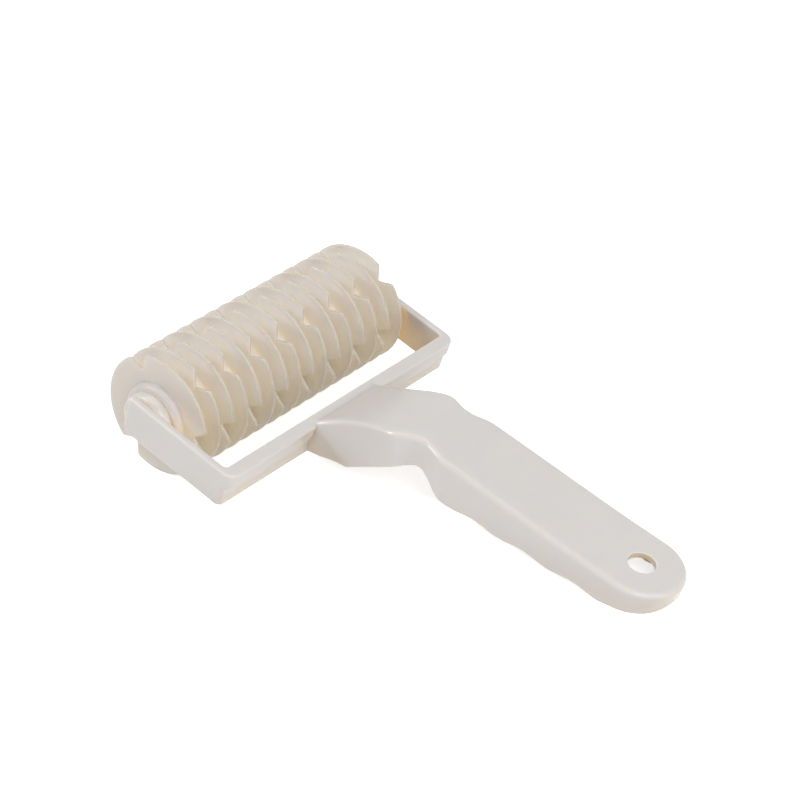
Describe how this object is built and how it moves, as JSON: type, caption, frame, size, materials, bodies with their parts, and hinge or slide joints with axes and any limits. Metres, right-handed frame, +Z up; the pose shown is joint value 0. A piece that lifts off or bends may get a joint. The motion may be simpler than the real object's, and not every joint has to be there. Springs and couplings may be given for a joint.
{
  "type": "lattice roller cutter",
  "caption": "Hand roller with notched discs that cuts a lattice of slits in dough, turning in a two-armed frame on a sloping grip with a hang hole.",
  "frame": {"origin": "on the table, under the middle of the tool's bounding box", "axes": "+X along the roller's axis, +Y from the grip towards the roller, +Z up from the table"},
  "size_m": [0.12, 0.2, 0.0439],
  "materials": {
    "ivory_plastic": "satin",
    "disc_plastic": "satin",
    "shaft_plastic": "satin"
  },
  "bodies": {
    "frame": {"frame_handle": "ivory_plastic"},
    "roller": {"hex_shaft": "shaft_plastic", "spacer_ring": "disc_plastic", "cutter_disc_01": "disc_plastic", "cutter_disc_02": "disc_plastic", "cutter_disc_03": "disc_plastic", "cutter_disc_04": "disc_plastic", "cutter_disc_05": "disc_plastic", "cutter_disc_06": "disc_plastic", "cutter_disc_07": "disc_plastic", "cutter_disc_08": "disc_plastic", "cutter_disc_09": "disc_plastic", "cutter_disc_10": "disc_plastic", "cutter_disc_11": "disc_plastic", "cutter_disc_12": "disc_plastic", "cutter_disc_13": "disc_plastic", "cutter_disc_14": "disc_plastic", "cutter_disc_15": "disc_plastic", "cutter_disc_16": "disc_plastic"}
  },
  "joints": [
    {"name": "roller_spin", "type": "hinge", "parent": "frame", "child": "roller", "pos_m": [0, 0.078, 0.022], "axis": [1, 0, 0], "continuous": true}
  ]
}
